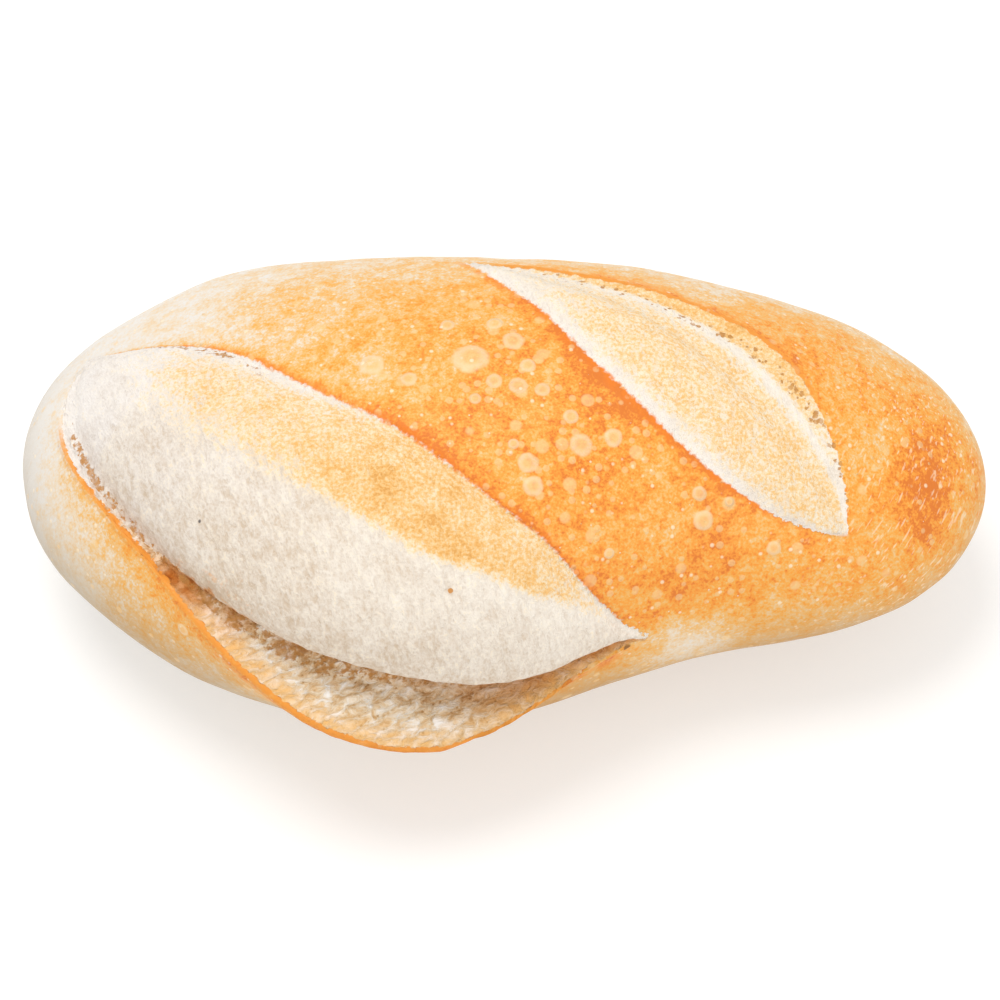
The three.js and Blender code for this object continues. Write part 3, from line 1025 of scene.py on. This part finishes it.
def makeFlourGroup():
    tree, given, out = startFinish("flouryBelly", ["Gold", "Warmth", "BellyShade"])
    here = objectPlace(tree)
    stroked = objectPlace(tree, flour["strokeTurn"], flour["strokeStretch"])
    fibres = grainTexture(tree, stroked, flour["fibreSize"], detail=6, roughness=0.62, distortion=0.4)
    worms = grainTexture(tree, stroked, flour["wormSize"], detail=1, distortion=1.0)
    worms = doMath(tree, "ABSOLUTE", doMath(tree, "SUBTRACT", worms, 0.5))
    strokes = grainTexture(tree, stroked, flour["strokeSize"], detail=2)
    patches = grainTexture(tree, here, flour["patchSize"], detail=3)
    speckle = grainTexture(tree, here, flour["speckleSize"], detail=3, roughness=0.65)
    blotches = grainTexture(tree, here, flour["blotchSize"], detail=2)

    tone = addUp(
        tree,
        remap(tree, fibres, *flour["fibreTone"]),
        swing(tree, speckle, flour["speckleTone"]),
        multiply(tree, remap(tree, worms, flour["wormWidth"], 0.0), flour["wormTone"]),
        swing(tree, strokes, flour["strokeTone"]),
        swing(tree, patches, flour["patchTone"]),
    )
    # painted shade darkens the lower belly
    tone = doMath(tree, "MULTIPLY_ADD", given["BellyShade"], -flour["bellyShadeTone"], tone)
    warm = addUp(tree, given["Warmth"], remap(tree, patches, *noiseRange, flour["patchWarmth"], 0.0))
    white, cream = (colourRamp(tree, tone, flour[name]) for name in ("whites", "creams"))
    colour = mixColours(tree, warm, white, cream)

    goldTone = addUp(
        tree,
        given["Gold"],
        swing(tree, speckle, flour["goldSpeckle"]),
        multiply(tree, swing(tree, blotches, flour["blotchTone"]), given["Gold"]),
    )
    cover = addUp(
        tree,
        given["Gold"],
        swing(tree, fibres, flour["coverFibre"]),
        swing(tree, speckle, flour["coverSpeckle"]),
    )
    cover = remap(tree, cover, 0.0, flour["coverFull"])
    colour = mixColours(tree, cover, colour, colourRamp(tree, goldTone, flour["golds"]))
    return endGroup(tree, out, colour, tone, remap(tree, speckle, 0, 1, *flour["roughness"]))


# ---- torn crumb

crumb = {
    "colours": [(0.0, (0.48, 0.26, 0.1)), (0.25, (0.72, 0.49, 0.27)), (0.5, (0.84, 0.67, 0.46)),
                (0.8, (0.9, 0.8, 0.67)), (1.0, (0.93, 0.9, 0.86))],
    # painted shadow under the belly, multiplied in; it darkens the browner crumb spots too
    "shadowAndBrownCrumb": (0.66, 0.3, 0.055, 1),  # under the belly
    "toast": (0.86, 0.49, 0.17, 1),
    "toastLeast": 0.6,
    "strokeTurn": (0, 0, 20),
    "strokeStretch": (1.7, 1, 1),
    "fibreSize": 1.0,
    "fibreTone": (0.27, 0.73, 0.08, 1.0),
    "patchSize": 4.5,
    "patchTone": 0.16,
    "patchShade": (0.3, 0.65, 1.0, 0.72),
    "poreSize": 1.0,
    "poreWall": (0.28, 0.04),
    "poreTone": 0.28,
    "shadeTone": 0.15,
    "roughness": (0.9, 1.0),
}


def makeCrumbGroup():
    tree, given, out = startFinish("tornCrumb", ["ShadeAndBrownCrumb", "Toast"])
    here = objectPlace(tree)
    stroked = objectPlace(tree, crumb["strokeTurn"], crumb["strokeStretch"])
    fibres = grainTexture(tree, stroked, crumb["fibreSize"], detail=5, roughness=0.62, distortion=0.6)
    patches = grainTexture(tree, here, crumb["patchSize"], detail=3)
    settings = {"Vector": here, "Scale": 1 / (crumb["poreSize"] * mm), "Randomness": 1.0}
    cells = addNode(tree, "TexVoronoi", settings).outputs["Distance"]
    pores = multiply(tree, remap(tree, cells, *crumb["poreWall"]), crumb["poreTone"])
    tone = addUp(tree, remap(tree, fibres, *crumb["fibreTone"]), swing(tree, patches, crumb["patchTone"]))
    tone = doMath(tree, "SUBTRACT", tone, pores)
    shaded = doMath(tree, "SUBTRACT", tone, multiply(tree, given["ShadeAndBrownCrumb"], crumb["shadeTone"]))
    colour = colourRamp(tree, shaded, crumb["colours"])
    toasted = multiply(tree, given["Toast"], remap(tree, fibres, *noiseRange, 1.0, crumb["toastLeast"]))
    colour = mixColours(tree, toasted, colour, crumb["toast"])
    # painted shadow under the belly and the browner crumb, darker in patches
    shadowAndBrownCrumb = multiply(tree, given["ShadeAndBrownCrumb"], remap(tree, patches, *crumb["patchShade"]))
    colour = mixColours(tree, shadowAndBrownCrumb, colour, crumb["shadowAndBrownCrumb"], "MULTIPLY")
    return endGroup(tree, out, colour, tone, remap(tree, fibres, 0, 1, *crumb["roughness"]))


# ---- the roll's material

rollFinish = {
    "crustBump": 0.3,
    "bellyBump": 0.28,
    "crumbBump": 0.3,
    "pitBump": 0.06,
    "lineColour": (0.79, 0.3, 0.045, 1),  # of the lip's thin edge
    "searedColour": (0.82, 0.21, 0.015, 1),  # of the crust where it turns down into a score
    "underRim": (0.5, 0.17, 0.05, 1),
    "pitColour": (0.52, 0.24, 0.065, 1),
    "pitCover": (0.6, 0.95),
    "specular": 0.3,
    "raggedGrain": (2.2, 4, 0.65),  # size in mm, detail and roughness of the grain that breaks borders up
    "fineGrain": (0.8, 2, 0.55),
    "streaks": (36, 56, 0.45),  # mm along the roll between which the streaks come in, and how strong
}
borders = {  # of the finishes around a score: mm past its edge or its rim, unless noted
    "edgeStrays": (0.8, 0.92, 0.12, 0.5),  # between these places, from this to that
    "rimStrays": (0.1, 0.09),  # coarse and fine
    "flourStarts": (-0.12, 0.18),
    "flourEnds": 0.1,
    "innerPlaces": (0.45, 0.62),  # between which the rim line's inner side moves
    "tornBlend": 0.3,  # of a station
    "lineCore": 0.4,  # share of the line's reach where it is full
    "lineCover": 0.95,
    "lineNoise": (-0.9, 0.4, 0.6, 1.0),
    "searedBand": ((-0.9, -0.2), (0.3, 0.1)),
    "searedCover": 0.85,
    "searedHeat": 2.2,
    "searedNoise": (-0.7, 0.6, 0.15, 1.0),
    "underBand": ((0.2, 0.7), (1.3, 0.8)),
    "pitWidest": 0.6,
    "pitRarity": 0.34,
    "pitStrays": (0.3, 0.2),  # coarse and fine
    "pitShows": (0.35, 0.6),
    "pitsBegin": 0.5,
    # How ragged the flour's end is, the rim line's reach inwards and outwards, how dark it is under the
    # rim, the places between which the line shows, the pits' size, and how they run together or stay round.
    "scores": {
        "large": {
            "ragged": 0.22, "inner": (0.35, 0.62), "outer": 0.42, "under": 0.22,
            "line": ((0.22, 0.3), (0.86, 0.8)), "pit": 1.3, "streak": 0.5, "round": 0.12,
        },
        "small": {
            "ragged": 0.0, "inner": (0.35, 0.35), "outer": 0.35, "under": 0.0,
            "line": ((0.1, 0.2), (0.66, 0.5)), "pit": 0.9, "streak": 0.16, "round": 0.9,
        },
    },
}


def remapBand(tree, value, starts, ends):  # 1 between two lines
    return multiply(tree, remap(tree, value, *starts), remap(tree, value, *ends))


def stray(tree, value, amounts, ragged, fine):  # moves a border by a coarse and a fine grain
    coarsely, finely = amounts
    return doMath(tree, "MULTIPLY_ADD", fine, finely, doMath(tree, "MULTIPLY_ADD", ragged, coarsely, value))


def maskScore(tree, name, values, ragged, fine):  # where each finish shows, in and around one score
    place, opened, edge, rim, torn, pits, heat = (
        readAttribute(tree, name + value)
        for value in ("Place", "Open", "Edge", "Rim", "Torn", "Pits", "Heat")
    )
    edge = doMath(tree, "MULTIPLY_ADD", fine, remap(tree, place, *borders["edgeStrays"]), edge)
    rim = stray(tree, rim, borders["rimStrays"], ragged, fine)
    insideRim = addUp(tree, rim, remap(tree, place, *borders["innerPlaces"], *values["inner"]))
    beforeRim = remap(tree, insideRim, borders["flourEnds"], 0.0)
    begins = multiply(tree, remap(tree, edge, *borders["flourStarts"]), opened)
    past = doMath(tree, "MULTIPLY_ADD", ragged, values["ragged"], torn)
    past = remap(tree, past, 0.0, borders["tornBlend"])

    starts, ends = values["line"]
    shown = multiply(tree, opened, remap(tree, place, *starts), remap(tree, place, *ends))
    outer = values["outer"]
    line = multiply(tree, shown, remap(tree, rim, outer, outer * borders["lineCore"]), borders["lineCover"])
    line = multiply(tree, line, remap(tree, ragged, *borders["lineNoise"]))
    line = multiply(tree, line, remap(tree, insideRim, -borders["flourEnds"], 0.0))
    under = multiply(tree, remapBand(tree, rim, *borders["underBand"]), values["under"], shown)

    comesUp, goesDown = borders["searedBand"]
    heated = doMath(tree, "MULTIPLY", heat, borders["searedHeat"], clamp=True)
    seared = multiply(tree, remap(tree, edge, *comesUp), opened, heated)
    seared = multiply(tree, seared, remap(tree, ragged, *borders["searedNoise"]))
    seared = multiply(tree, seared, remap(tree, edge, *goesDown), borders["searedCover"])

    where = objectPlace(tree)
    holes = scatterCones(tree, where, values["pit"], borders["pitWidest"], pits, borders["pitRarity"])
    holes = doMath(tree, "MULTIPLY_ADD", pits, values["streak"], multiply(tree, holes, values["round"]))
    coarsely, finely = borders["pitStrays"]
    strays = doMath(tree, "MULTIPLY_ADD", ragged, coarsely, multiply(tree, fine, finely))
    holes = remap(tree, addUp(tree, holes, strays), *borders["pitShows"])
    return {
        "belly": multiply(tree, begins, doMath(tree, "SUBTRACT", 1.0, past), beforeRim),
        "torn": multiply(tree, past, beforeRim, opened),
        "line": line,
        "seared": seared,
        "under": under,
        "pits": multiply(tree, holes, remap(tree, pits, 0.0, borders["pitsBegin"])),
    }


def placeFinishes(tree):  # the crust's, the flour's and the crumb's groups
    along = addNode(tree, "SeparateXYZ", {"Vector": objectPlace(tree)}).outputs["X"]
    start, full, strength = rollFinish["streaks"]
    baked, tanAndShade, crowd, gold, warmth, bellyShade, shade, toast = (
        readAttribute(tree, name)
        for name in ("bake", "tanAndShade", "crowd", "gold", "warmth", "bellyShade", "shade", "toast")
    )
    streaks = multiply(tree, remap(tree, along, start * mm, full * mm), strength)
    return (
        placeGroup(tree, makeCrustGroup(), {"Bake": baked, "Crowd": crowd, "Streaks": streaks, "TanAndShade": tanAndShade}),
        placeGroup(tree, makeFlourGroup(), {"Gold": gold, "Warmth": warmth, "BellyShade": bellyShade}),
        placeGroup(tree, makeCrumbGroup(), {"ShadeAndBrownCrumb": shade, "Toast": toast}),
    )


def makeRollMaterial():
    finish = bpy.data.materials.new("bakedRoll")
    finish.use_nodes = True
    tree = finish.node_tree
    shader = tree.nodes["Principled BSDF"]
    ragged, fine = (
        remap(tree, grainTexture(tree, objectPlace(tree), *rollFinish[name]), *noiseRange, -1, 1)
        for name in ("raggedGrain", "fineGrain")
    )
    masks = [maskScore(tree, name, values, ragged, fine) for name, values in borders["scores"].items()]
    belly, torn, line, seared, under, pits = (
        doMath(tree, "MAXIMUM", *(mask[kind] for mask in masks))
        for kind in ("belly", "torn", "line", "seared", "under", "pits")
    )
    baked, floury, crumby = placeFinishes(tree)

    colour = mixColours(tree, seared, baked["Colour"], rollFinish["searedColour"])
    colour = mixColours(tree, line, colour, rollFinish["lineColour"])
    colour = mixColours(tree, under, colour, rollFinish["underRim"])
    colour = mixColours(tree, belly, colour, floury["Colour"])
    colour = mixColours(tree, torn, colour, crumby["Colour"])
    pitted = multiply(tree, pits, remap(tree, fine, -1, 1, *rollFinish["pitCover"]))
    colour = mixColours(tree, pitted, colour, rollFinish["pitColour"])
    wobble = multiply(tree, fine, flour["markWobble"])
    for along, angle, radius, shade in flour["marks"]:
        mark = {"Centre": tuple(spotPlace(along, angle) * mm), "Radius": radius * mm, "Wobble": wobble}
        cone = placeGroup(tree, spotGroup, mark)["Cone"]
        colour = mixColours(tree, remap(tree, cone, 0.0, flour["markFade"]), colour, shade)

    roughness = mixValues(tree, belly, baked["Roughness"], floury["Roughness"])
    roughness = mixValues(tree, torn, roughness, crumby["Roughness"])
    height = multiply(tree, baked["Height"], rollFinish["crustBump"])
    height = mixValues(tree, belly, height, multiply(tree, floury["Height"], rollFinish["bellyBump"]))
    height = mixValues(tree, torn, height, multiply(tree, crumby["Height"], rollFinish["crumbBump"]))
    height = doMath(tree, "SUBTRACT", height, multiply(tree, pits, rollFinish["pitBump"]))
    bump = addNode(tree, "Bump", {"Height": height, "Distance": mm, "Strength": 1.0})
    tree.links.new(colour, shader.inputs["Base Color"])
    tree.links.new(roughness, shader.inputs["Roughness"])
    tree.links.new(bump.outputs["Normal"], shader.inputs["Normal"])
    shader.inputs["Specular IOR Level"].default_value = rollFinish["specular"]
    return finish


bakedRoll = bpy.data.objects.new("bakedRoll", rollMesh)
bpy.context.scene.collection.objects.link(bakedRoll)
rollMesh.materials.append(makeRollMaterial())
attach(bakedRoll, "root")
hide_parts("bread_roll")
print("roll finished")
